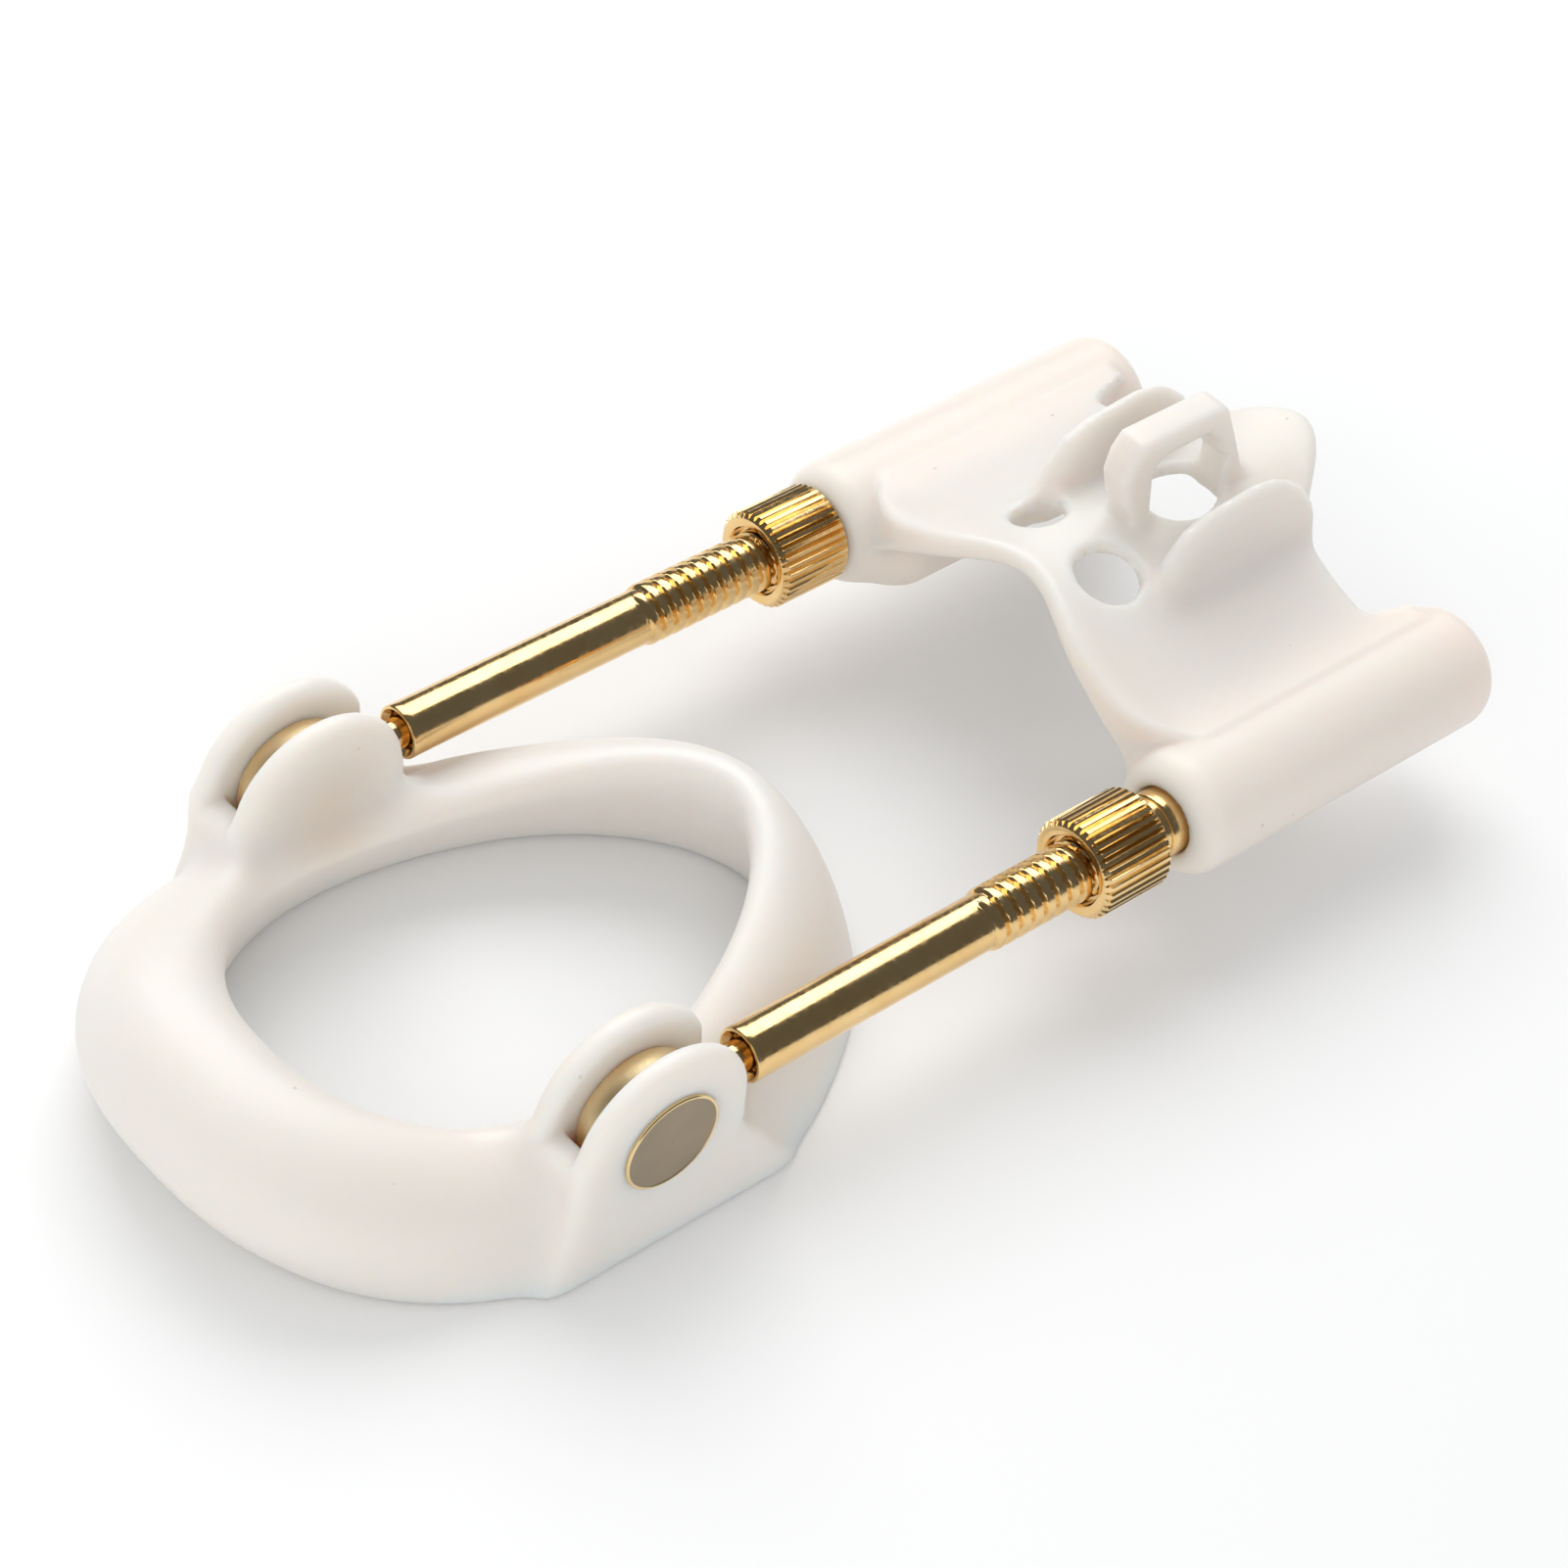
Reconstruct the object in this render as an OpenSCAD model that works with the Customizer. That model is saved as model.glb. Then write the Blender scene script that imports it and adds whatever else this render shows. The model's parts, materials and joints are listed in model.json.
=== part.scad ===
// Adjustable rod traction frame: a moulded base ring, two hinged sprung rods with
// knurled nuts, and a moulded strap cradle whose sleeves slide on the rods.
// Each module is drawn about the hinge axis: X along the hinge, Y along the rods
// from ring to cradle, Z up. The frame() module then stands the part on its base.

/* [Overall] */
// Distance between the two rod axes
rod_spacing = 55; // [54:0.5:56]
// Height of the hinge axis above the flat base
hinge_height = 15.2; // [14.8:0.1:16]
// Distance from the hinge axis to the frontmost point of the ring
ring_front = 39; // [38:0.5:41]
// Distance from the hinge axis to the rearmost point of the ring
ring_back = 47.5; // [46:0.5:49]

/* [Ring opening] */
// Half width of the opening at the base
opening_half_w = 24.5; // [24:0.1:25]
// Opening's reach in front of its widest place
opening_front = 25; // [23:0.5:26]
// Opening's reach behind its widest place
opening_back = 38.6; // [37:0.2:39]
// Height of the ring at its front
front_arc_h = 19; // [16:0.2:20]
// Height of the ring beside the lugs
side_arc_h = 11.3; // [10.8:0.1:11.6]
// Height of the ring at its back
back_arc_h = 18.4; // [15:0.2:19]

/* [Hinge lugs] */
// Radius of the ears about the hinge axis
ear_r = 10.5; // [10:0.1:10.6]
// Thickness of each ear
ear_t = 3.1; // [2.8:0.1:3.1]
// Width of the slot between the ears
slot_w = 3.8; // [3.8:0.1:4]
// Radius of the flush pin head
pin_head_r = 5.75; // [5:0.05:6]
// Radius of the pin shank
pin_r = 2.5; // [2:0.1:2.6]
// Radius of the knuckle disc
knuckle_r = 7; // [6.5:0.1:7.4]

/* [Rods] */
// Radius of the plunger shaft
shaft_r = 1.7; // [1.5:0.05:1.75]
// Outer radius of the smooth tube
tube_r = 3.05; // [3:0.05:3.2]
// Bore radius of the tube
tube_bore_r = 2.2; // [2.1:0.05:2.3]
// Outer radius of the thread
thread_r = 3.4; // [3.3:0.05:3.5]
// Thread pitch
thread_pitch = 1.75; // [1.5:0.25:2]
// Distance from the hinge axis to the tube's open end
tube_start = 12.7; // [12.7:0.1:13.5]
// Distance from the hinge axis to the first thread
thread_start = 44.2; // [42:0.2:46]
// Distance from the hinge axis to the tube's hidden end
tube_end = 88; // [86:0.5:90]

/* [Nuts and collars] */
// Outer radius of the knurled nut
nut_r = 5.7; // [5.5:0.05:6]
// Length of the knurled nut
nut_len = 9.6; // [9:0.1:10]
// Number of flutes round the nut
nut_flutes = 36; // [30:1:40]
// Gap that the right nut's hub leaves in front of its sleeve
right_nut_gap = 3.6; // [3:0.1:4]
// Outer radius of the grooved thrust collar
collar_r = 3.75; // [3.7:0.05:3.8]
// Length of the thrust collar
collar_len = 4.6; // [4.4:0.1:4.8]

/* [Cradle] */
// Radius of the two sleeves
sleeve_r = 7.1; // [6.8:0.1:7.4]
// Distance from the hinge axis to the sleeve mouths
sleeve_start = 71.4; // [71:0.1:72]
// Length of the sleeves
sleeve_len = 46; // [44:0.2:47]
// Height of the saddle's crown above the rod axes
saddle_h = 14; // [13:0.5:15]
// Thickness of the saddle at its crown
saddle_t = 1.8; // [1.6:0.1:2.4]
// Height of the strap bridge above the rod axes
bridge_h = 25.7; // [24.5:0.1:26.5]
// Distance of each side fin from the middle
fin_x = 9.3; // [9:0.1:9.8]

/* [Hidden] */

// Smoothness of round parts
$fn = 64;
// Running clearance between turning or sliding pieces, and a hair for cutting through
run_gap = 0.05;
cut = 1;

rod_x = rod_spacing / 2;
sleeve_end = sleeve_start + sleeve_len;
// The frame's origin is under the middle of the whole part
hinge_y = -(sleeve_end - ring_front) / 2;
base_z = -hinge_height;

// Ring: widest place, outer half width, section counts and powers of the outlines
ring_wide_y = 1.6;
ring_half_w = rod_x + slot_w / 2 + ear_t;
ring_stations = 64;
ring_arc_steps = 10;
outer_power = [2.5, 2.1];
inner_power = [2.3, 1.85];
// The outline is a little fuller behind the lugs
hip = 0.03;
hip_angle = 21;
hip_spread = 13;
// How far the section tucks in at its foot, and leans in for each 10 of height
tuck_front = 5.7;
tuck_back = 1;
side_lean = 4.9;
back_lean = 4;
section_mid_front = 8.8;
section_mid_back = 7.2;
lean_top = 10.7;
// The lugs' inner ends stay just behind the ring's wall, and its sides just inside the lugs
opening_set_back = 0.15;
side_set_back = 0.06;
slot_floor_z = -3.6;
slot_run_out = -15.5;
knuckle_w = slot_w - 2 * run_gap;
pin_head_t = 1;
pin_recess = 0.15;
pin_blind = 1.2;

// Rod internals
shaft_root = 3.4;
shaft_end = 38;
shaft_head_r = tube_bore_r - run_gap;
shaft_head_len = 3;
bush_recess = 1.6;
bush_len = 4;
plug_len = 4;
thread_depth = 0.62;
wire_r = 0.26;
spring_turns = 20;
spring_seat = tube_end - plug_len;
spring_free_start = shaft_end;

// Nut and sleeve fits
nut_bore_r = thread_r + run_gap;
flute_depth = 0.34;
nut_chamfer = 0.7;
nut_recess_r = 4.2;
nut_recess_depth = 0.8;
sleeve_bore_r = thread_r + 0.07;
sleeve_bore_end = sleeve_end - 8;
mouth_r = collar_r + 0.15;
mouth_depth = 5.2;
mouth_round = 3.2;
tail_round = 2.8;

// Saddle
saddle_half_wave = 24;
saddle_drop = (saddle_h - sleeve_r) / 2;
under_half_wave = 26;
under_drop = 5.2;
saddle_near = 74.8;
near_bow = 2.6;
near_bow_w = 12;
near_turn_x = 16;
saddle_far = 107.4;
tongue_len = 9.8;
tongue_half_w = 11;
notch_x = 20.5;
// The left strap hole lies a little further out than the right one
left_hole = [-6.8, 82.2];
left_hole_size = [3, 3.8];
right_hole = [5.1, 82.1];
right_hole_size = [3.7, 4];
window_y = 97.4;
window_size = [4.2, 5.2];
window_near = 91.8;
fin_t = 3;
bridge_w = 4;
// Thick roots of the saddle, beside and below the sleeves
root_x = 22.8;
root_z = -1.4;
root_r = 5.4;
root_ends = [75, 107];

left_nut_end = sleeve_start;
right_nut_end = sleeve_start - right_nut_gap;

// ---- helpers ----

// Stands the part on its base with the origin under its middle
module frame() {
    translate([0, hinge_y, hinge_height]) children();
}

// Turns a profile of radius against length into a solid along +Y
module along_y(x) {
    translate([x, 0, 0]) rotate([-90, 0, 0]) children();
}

// A plain cylinder along Y between two distances
module rod_y(x, from, to, r) {
    along_y(x) translate([0, 0, from]) cylinder(h = to - from, r = r);
}

// A plain cylinder along X between two places
module rod_x_dir(from, to, r) {
    translate([from, 0, 0]) rotate([0, 90, 0]) cylinder(h = to - from, r = r);
}

// A side profile (Y, Z) made into a plate of width w, centred at x
module plate_x(x, w) {
    translate([x - w / 2, 0, 0]) rotate([90, 0, 90]) linear_extrude(w) children();
}

function lerp(a, b, k) = a + (b - a) * k;
function power_of(v, e) = sign(v) * pow(abs(v), e);

// ---- base ring ----

// Runs from 0 at the front arc to 1 at the back arc
function backness(a) = (1 + sin(a)) / 2;

// Blends three values round the ring: at its front, beside the lugs and at its back
function round_ring(front, side, back, a) =
    let (b = backness(a))
    front * 2 * (b - 0.5) * (b - 1) + side * 4 * b * (1 - b) + back * 2 * b * (b - 0.5);

// A point on an egg outline about the ring's widest place
function egg_at(a, half_w, front, back, power) =
    let (e = 2 / (sin(a) > 0 ? power[1] : power[0]))
    [half_w * power_of(cos(a), e), (sin(a) > 0 ? back : front) * power_of(sin(a), e)];

// Inner and outer outlines of the ring at angle a, seen from above
function inner_at(a) =
    [0, ring_wide_y] + egg_at(a, opening_half_w, opening_front, opening_back, inner_power);
function outer_at(a) =
    let (p = egg_at(a, ring_half_w, ring_front + ring_wide_y, ring_back - ring_wide_y, outer_power),
         fuller = 1 + hip * exp(-pow((atan2(sin(a), abs(cos(a))) - hip_angle) / hip_spread, 2)))
    [sign(p.x) * min(ring_half_w - side_set_back, abs(p.x) * fuller), ring_wide_y + p.y * fuller];

function tuck_at(a) = tuck_front * pow(max(0, 1 - backness(a) / 0.4), 1.3)
    + tuck_back * max(0, backness(a) - 0.6) / 0.4;

// One section: (distance out from the inner outline, height above the base)
function section_points(a) =
    let (w = norm(outer_at(a) - inner_at(a)), tuck = tuck_at(a),
         h = round_ring(front_arc_h, side_arc_h, back_arc_h, a),
         mid = lerp(section_mid_front, section_mid_back, backness(a)))
    concat(
        [[0, 0]],
        [for (i = [0 : ring_arc_steps]) let (t = 180 * i / ring_arc_steps)
            [w * (1 - power_of(cos(t), 0.9)) / 2, mid + (h - mid) * power_of(sin(t), 0.8)]],
        [for (k = [0.6, 0.25, 0]) [w - tuck * pow(1 - k, 1.7), mid * k]]);

// A section's point in space: the section leans in towards the opening as it rises
function ring_point(a, s) =
    let (p = inner_at(a), out = (outer_at(a) - p) / norm(outer_at(a) - p),
         place = p + out * (s.x - round_ring(0, side_lean, back_lean, a) * s.y / 10))
    [place.x, place.y, base_z + s.y];

module ring_body() {
    sections = [for (i = [0 : ring_stations - 1]) let (a = 360 * i / ring_stations)
        [for (s = section_points(a)) ring_point(a, s)]];
    n = len(sections[0]);
    points = [for (sec = sections) for (p = sec) p];
    faces = [for (i = [0 : ring_stations - 1]) for (j = [0 : n - 1])
        let (i2 = (i + 1) % ring_stations, j2 = (j + 1) % n)
        each [[i * n + j, i2 * n + j2, i * n + j2], [i * n + j, i2 * n + j, i2 * n + j2]]];
    polyhedron(points = points, faces = faces, convexity = 6);
}

// The opening's space between the lugs, which follows the lean of the ring's inner wall
module opening_space() {
    n = ring_stations;
    low = [for (i = [0 : n - 1]) ring_point(360 * i / n, [opening_set_back, -cut])];
    high = [for (i = [0 : n - 1]) ring_point(360 * i / n, [opening_set_back, lean_top])];
    walls = [for (i = [0 : n - 1]) let (i2 = (i + 1) % n)
        each [[i, i + n, i2 + n], [i, i2 + n, i2]]];
    polyhedron(points = concat(low, high), convexity = 2, faces = concat(
        walls, [[for (i = [0 : n - 1]) i], [for (i = [n - 1 : -1 : 0]) i + n]]));
}

// Side outline of a lug: the round ear and its skirt down to the base
module lug_outline() {
    circle(r = ear_r);
    polygon([[-ear_r * 0.94, ear_r * 0.34], [-ear_r * 1.03, -3], [-12, base_z],
             [17, base_z], [12.4, -6.5], [ear_r * 0.97, -4], [ear_r * 0.94, ear_r * 0.34]]);
}

// One lug, with its slot, seat for the pin head and bore for the shank
module lug(side) {
    translate([side * rod_x, 0, 0]) difference() {
        plate_x(0, slot_w + 2 * ear_t) lug_outline();
        plate_x(0, slot_w) {
            circle(r = knuckle_r + 0.8);
            translate([-30, slot_floor_z]) square([60, 30]);
        }
        mirror([side < 0 ? 1 : 0, 0, 0]) lug_bores();
    }
}

// Bore and head seat, drawn for the right side
module lug_bores() {
    rod_x_dir(-slot_w / 2 - ear_t + pin_blind, slot_w / 2 + ear_t + cut, pin_r);
    rod_x_dir(slot_w / 2 + ear_t - pin_head_t - pin_recess, slot_w / 2 + ear_t + cut, pin_head_r);
}

// Space round both hinges that the ring body must leave free
module slot_space(side) {
    translate([side * rod_x, 0, 0]) plate_x(0, slot_w) {
        circle(r = knuckle_r + 0.8);
        polygon([[slot_run_out, 0], [-ear_r, slot_floor_z], [30, slot_floor_z], [30, 20],
                 [slot_run_out, 20]]);
    }
}

module base_ring() {
    color("ivory") frame() union() {
        difference() {
            ring_body();
            for (side = [-1, 1]) slot_space(side);
        }
        difference() {
            for (side = [-1, 1]) lug(side);
            opening_space();
        }
    }
}

// ---- hinge pins and knuckles ----

module hinge_pin(side) {
    color("goldenrod") frame() mirror([side < 0 ? 1 : 0, 0, 0]) translate([rod_x, 0, 0]) {
        rod_x_dir(-slot_w / 2 - ear_t + pin_blind, slot_w / 2 + ear_t - pin_recess, pin_r);
        rod_x_dir(slot_w / 2 + ear_t - pin_head_t - pin_recess, slot_w / 2 + ear_t - pin_recess,
                  pin_head_r);
    }
}

module hinge_knuckle(side) {
    color("palegoldenrod") frame() translate([side * rod_x, 0, 0]) difference() {
        rod_x_dir(-knuckle_w / 2, knuckle_w / 2, knuckle_r);
        rod_x_dir(-knuckle_w, knuckle_w, pin_r + run_gap);
        rod_y(0, shaft_root, knuckle_r + cut, shaft_r);
    }
}

// ---- rods ----

module guide_shaft(side) {
    color("goldenrod") frame() along_y(side * rod_x) {
        translate([0, 0, shaft_root]) cylinder(h = shaft_end - shaft_root, r = shaft_r);
        translate([0, 0, shaft_end - shaft_head_len])
            cylinder(h = shaft_head_len, r = shaft_head_r);
    }
}

module guide_bush(side) {
    color("goldenrod") frame() along_y(side * rod_x)
        translate([0, 0, tube_start + bush_recess]) difference() {
            cylinder(h = bush_len, r = tube_bore_r);
            translate([0, 0, -cut]) cylinder(h = bush_len + 2 * cut, r = shaft_r + run_gap);
        }
}

// Outline of the tube wall: radius against distance, with ridges for the thread
module tube_outline() {
    turns = floor((tube_end - thread_start) / thread_pitch);
    outer = concat(
        [[tube_r - 0.25, tube_start], [tube_r, tube_start + 0.25], [tube_r, thread_start]],
        [for (i = [0 : turns - 1]) let (y = thread_start + i * thread_pitch)
            each [[thread_r, y + 0.3 * thread_pitch], [thread_r, y + 0.55 * thread_pitch],
                  [thread_r - thread_depth, y + 0.85 * thread_pitch],
                  [thread_r - thread_depth, y + thread_pitch]]],
        [[thread_r - thread_depth, tube_end]]);
    bore = [[tube_bore_r, tube_end], [tube_bore_r, tube_start + 0.5],
            [tube_bore_r + 0.5, tube_start]];
    polygon(concat(outer, bore));
}

module threaded_tube(side) {
    color("gold") frame() along_y(side * rod_x) rotate_extrude() tube_outline();
}

module end_plug(side) {
    color("goldenrod") frame() along_y(side * rod_x)
        translate([0, 0, tube_end - plug_len]) cylinder(h = plug_len, r = tube_bore_r);
}

// A coil of wire, swept along its helix
module return_spring(side) {
    coil_r = tube_bore_r - wire_r - 0.12;
    steps = 10;
    sides = 6;
    length = spring_seat - spring_free_start - 2 * wire_r - 0.1;
    count = spring_turns * steps;
    points = [for (i = [0 : count]) for (j = [0 : sides - 1])
        let (a = 360 * i / steps, b = 360 * j / sides,
             r = coil_r + wire_r * cos(b),
             y = spring_free_start + wire_r + 0.05 + length * i / count + wire_r * sin(b))
        [r * cos(a), y, r * sin(a)]];
    walls = [for (i = [0 : count - 1]) for (j = [0 : sides - 1])
        let (j2 = (j + 1) % sides)
        each [[i * sides + j, (i + 1) * sides + j, (i + 1) * sides + j2],
              [i * sides + j, (i + 1) * sides + j2, i * sides + j2]]];
    first_cap = [[for (j = [0 : sides - 1]) j]];
    last_cap = [[for (j = [sides - 1 : -1 : 0]) count * sides + j]];
    color("silver") frame() translate([side * rod_x, 0, 0])
        polyhedron(points = points, faces = concat(walls, first_cap, last_cap), convexity = 20);
}

// ---- nuts and collars ----

// Cross-section of the nut: a ring of straight flutes
module nut_section() {
    step = 360 / nut_flutes;
    polygon([for (i = [0 : nut_flutes - 1]) let (a = i * step)
        each [nut_r * [cos(a - step * 0.28), sin(a - step * 0.28)],
              nut_r * [cos(a + step * 0.28), sin(a + step * 0.28)],
              (nut_r - flute_depth) * [cos(a + step * 0.5), sin(a + step * 0.5)]]]);
}

module knurled_nut(side, nut_end) {
    color("gold") frame() along_y(side * rod_x) translate([0, 0, nut_end - nut_len])
        difference() {
            intersection() {
                linear_extrude(nut_len) nut_section();
                rotate_extrude() polygon([
                    [0, 0], [nut_r - nut_chamfer, 0], [nut_r + 0.02, nut_chamfer],
                    [nut_r + 0.02, nut_len - nut_chamfer], [nut_r - nut_chamfer, nut_len],
                    [0, nut_len]]);
            }
            translate([0, 0, -cut]) cylinder(h = nut_len + 2 * cut, r = nut_bore_r);
            translate([0, 0, -cut]) cylinder(h = cut + nut_recess_depth, r = nut_recess_r);
        }
}

// A collar with two ridges and one groove, next to the nut's cradle side
module thrust_collar(side, nut_end) {
    color("goldenrod") frame() along_y(side * rod_x) translate([0, 0, nut_end + run_gap])
        rotate_extrude() polygon([
            [nut_bore_r, 0], [collar_r, 0], [collar_r, 1.1], [collar_r - 0.25, 1.35],
            [collar_r - 0.25, 1.75], [collar_r, 2], [collar_r, collar_len - 0.2],
            [collar_r - 0.2, collar_len], [nut_bore_r, collar_len]]);
}

// ---- cradle ----

function saddle_top(x) = saddle_h - saddle_drop * (1 - cos(180 * x / saddle_half_wave));
function saddle_under(x) =
    saddle_h - saddle_t - under_drop * (1 - cos(180 * x / under_half_wave));

// Arch seen along the rods
module saddle_section() {
    edge = rod_x - sleeve_r * 0.55;
    inner = rod_x - sleeve_r + 0.3;
    steps = 12;
    polygon(concat(
        [for (i = [-steps : steps]) let (x = edge * i / steps) [x, saddle_top(x)]],
        [[edge, 0]], [for (i = [steps : -1 : -steps]) let (x = inner * i / steps)
            [x, saddle_under(x)]], [[-edge, 0]]));
}

// Outline of the saddle seen from above: a bowed near edge, and a tongue at the far edge
function near_edge(x) =
    saddle_near - near_bow * pow(sin(90 * min(abs(x) / near_bow_w, 1)), 2)
    + 0.06 * pow(max(0, abs(x) - near_turn_x), 2);
function far_edge(x) =
    saddle_far + tongue_len * pow(cos(90 * min(abs(x) / tongue_half_w, 1)), 2)
    + min(6, 0.9 * pow(max(0, abs(x) - notch_x), 2));

module saddle_plan() {
    edge = rod_x - 3;
    steps = 24;
    polygon(concat(
        [for (i = [-steps : steps]) let (x = edge * i / steps) [x, near_edge(x)]],
        [for (i = [steps : -1 : -steps]) let (x = edge * i / steps) [x, far_edge(x)]]));
}

// An oval hole seen from above
module oval_hole(place, size) {
    translate([place.x, place.y, 0]) linear_extrude(3 * saddle_h)
        polygon([for (i = [0 : 23]) [size.x * cos(15 * i), size.y * sin(15 * i)]]);
}

// Fin outline seen from the side: a sloped front, a long crest and a sloped back
module fin_outline() {
    polygon([[84.4, 9], [84.9, 11.8], [86.1, 15.4], [88.2, 18.8], [91.5, 20.2], [95.5, 20.6],
             [99, 20.9], [102, 20.2], [104.2, 19], [106.8, 16.8], [108.8, 14], [109.4, 9]]);
}

// Strap bridge: a bowed near post, an arm and a sloped far post over the window
module bridge_outline() {
    difference() {
        polygon([[90.6, 11], [88.6, 14.4], [87, 17.2], [85.9, 20.8], [86.4, 23.6],
                 [87.8, bridge_h], [99.9, bridge_h], [101, bridge_h - 0.9], [103, 20.5],
                 [105, 16], [106.4, 11]]);
        polygon([[93, 8], [91.2, 15.4], [90.3, 21], [91.6, 22.4], [98.2, 22.6],
                 [100.4, 20.4], [102, 16], [103, 8]]);
    }
}

// A round bar along Y with both ends rounded, as a turned outline
module round_bar(x, from, to, r, near_round, far_round) {
    n = 8;
    along_y(x) rotate_extrude() polygon(concat(
        [[0, from]],
        [for (i = [0 : n]) let (a = 90 * i / n)
            [r - near_round * (1 - sin(a)), from + near_round * (1 - cos(a))]],
        [for (i = [0 : n]) let (a = 90 * i / n)
            [r - far_round * (1 - cos(a)), to - far_round * (1 - sin(a))]],
        [[0, to]]));
}

module sleeve(side) {
    round_bar(side * rod_x, sleeve_start, sleeve_end, sleeve_r, mouth_round, tail_round);
}

module saddle_root(side) {
    translate([0, 0, root_z])
        round_bar(side * root_x, root_ends[0], root_ends[1], root_r, root_r - 0.4, root_r - 0.4);
}

module sleeve_bores(side) {
    rod_y(side * rod_x, sleeve_start - cut, sleeve_bore_end, sleeve_bore_r);
    rod_y(side * rod_x, sleeve_start - cut, sleeve_start + mouth_depth, mouth_r);
}

module cradle() {
    color("ivory") frame() difference() {
        union() {
            for (side = [-1, 1]) {
                sleeve(side);
                saddle_root(side);
            }
            intersection() {
                translate([0, sleeve_end, 0]) rotate([90, 0, 0])
                    linear_extrude(sleeve_len) saddle_section();
                translate([0, 0, -sleeve_r]) linear_extrude(3 * saddle_h) saddle_plan();
            }
            for (side = [-1, 1]) plate_x(side * fin_x, fin_t) fin_outline();
            plate_x(0, bridge_w) bridge_outline();
        }
        for (side = [-1, 1]) sleeve_bores(side);
        oval_hole(left_hole, left_hole_size);
        oval_hole(right_hole, right_hole_size);
        intersection() {
            oval_hole([0, window_y], window_size);
            translate([-5, window_near, 0]) cube([10, 12, 18]);
        }
    }
}

// ---- one module for each piece ----

module left_hinge_pin() { hinge_pin(-1); }
module left_hinge_knuckle() { hinge_knuckle(-1); }
module left_guide_shaft() { guide_shaft(-1); }
module left_return_spring() { return_spring(-1); }
module left_guide_bush() { guide_bush(-1); }
module left_threaded_tube() { threaded_tube(-1); }
module left_end_plug() { end_plug(-1); }
module left_thrust_collar() { thrust_collar(-1, left_nut_end); }
module left_knurled_nut() { knurled_nut(-1, left_nut_end); }
module right_hinge_pin() { hinge_pin(1); }
module right_hinge_knuckle() { hinge_knuckle(1); }
module right_guide_shaft() { guide_shaft(1); }
module right_return_spring() { return_spring(1); }
module right_guide_bush() { guide_bush(1); }
module right_threaded_tube() { threaded_tube(1); }
module right_end_plug() { end_plug(1); }
module right_thrust_collar() { thrust_collar(1, right_nut_end); }
module right_knurled_nut() { knurled_nut(1, right_nut_end); }

base_ring();
cradle();
left_hinge_pin();
left_hinge_knuckle();
left_guide_shaft();
left_return_spring();
left_guide_bush();
left_threaded_tube();
left_end_plug();
left_thrust_collar();
left_knurled_nut();
right_hinge_pin();
right_hinge_knuckle();
right_guide_shaft();
right_return_spring();
right_guide_bush();
right_threaded_tube();
right_end_plug();
right_thrust_collar();
right_knurled_nut();
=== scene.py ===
# %% [markdown]
# # An adjustable rod traction frame
#
# The object is a moulded ring with two forked lugs, two gold-plated rods that hinge in
# the lugs, knurled nuts on the rods' threads, and a moulded cradle that slides on the
# rods. This lesson builds its looks round a frame of exact parts that already exists.
# The moulded pieces are made as distance fields, because every corner on them melts
# into the next. The metal pieces are turned profiles, as they are on a lathe.

# %% Load the frame and keep its size
import json
import math
import bpy
import numpy as np
from mathutils import Matrix, Vector


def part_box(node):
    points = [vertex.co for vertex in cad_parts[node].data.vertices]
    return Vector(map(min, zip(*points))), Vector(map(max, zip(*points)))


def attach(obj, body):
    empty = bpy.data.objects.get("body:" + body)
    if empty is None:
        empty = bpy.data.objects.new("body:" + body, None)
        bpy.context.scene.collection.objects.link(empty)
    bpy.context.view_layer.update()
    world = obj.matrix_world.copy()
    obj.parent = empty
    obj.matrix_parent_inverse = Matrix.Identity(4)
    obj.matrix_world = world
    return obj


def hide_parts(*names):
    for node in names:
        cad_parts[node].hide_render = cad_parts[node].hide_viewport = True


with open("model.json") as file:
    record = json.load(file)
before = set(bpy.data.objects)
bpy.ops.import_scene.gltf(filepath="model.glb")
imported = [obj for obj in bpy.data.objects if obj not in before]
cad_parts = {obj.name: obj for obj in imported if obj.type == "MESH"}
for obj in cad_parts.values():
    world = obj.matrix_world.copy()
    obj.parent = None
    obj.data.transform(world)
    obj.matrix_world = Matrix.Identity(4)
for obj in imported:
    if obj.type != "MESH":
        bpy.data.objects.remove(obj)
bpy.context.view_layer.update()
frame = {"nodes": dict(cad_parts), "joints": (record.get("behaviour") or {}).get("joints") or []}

# %% [markdown]
# ## Units and the few sizes that everything hangs on
#
# Blender works in metres here, and this object is small, so shapes are worked out in
# millimetres about the middle of the hinge axis: X along the hinge, Y along the rods,
# Z up. The hinge's place comes from the joint, and the rods' ends from their boxes.

# %% Read the driving sizes from the frame
MM = 0.001
joints = {j["name"]: j for j in frame["joints"]}
hinge_at = joints["right_rod_fold"]["pos_m"]
ROD_X = hinge_at[0] / MM
HINGE = np.array([0.0, hinge_at[1], hinge_at[2]]) / MM
BASE_Z = -HINGE[2]
SIDES = {"left": -1, "right": 1}


def box_mm(node):
    """A node's lowest and highest corners, in millimetres about the hinge."""
    low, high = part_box(node)
    return np.array(low) / MM - HINGE, np.array(high) / MM - HINGE


ring_low, ring_high = box_mm("base_ring")
cradle_low, cradle_high = box_mm("cradle")
print("rod axes at", ROD_X, "mm; ring", ring_low, ring_high, "cradle", cradle_low, cradle_high)

# %% [markdown]
# ## Distance fields
#
# A distance field gives, for any point, how far it is from a shape: negative inside,
# positive outside. Two fields are joined by taking the smaller value. If the join is
# softened, a fillet appears where the shapes meet, as a toolmaker would blend a mould.
# Metaballs or a voxel remesh would also melt shapes together, but neither keeps a flat
# face flat, and a field does.

# %% Helpers that join and cut fields
def soft_min(a, b, radius):
    """Joins two shapes, with a fillet of about that radius where they meet."""
    near = np.maximum(radius - np.abs(a - b), 0) / radius
    return np.minimum(a, b) - near * near * radius / 4


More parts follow.
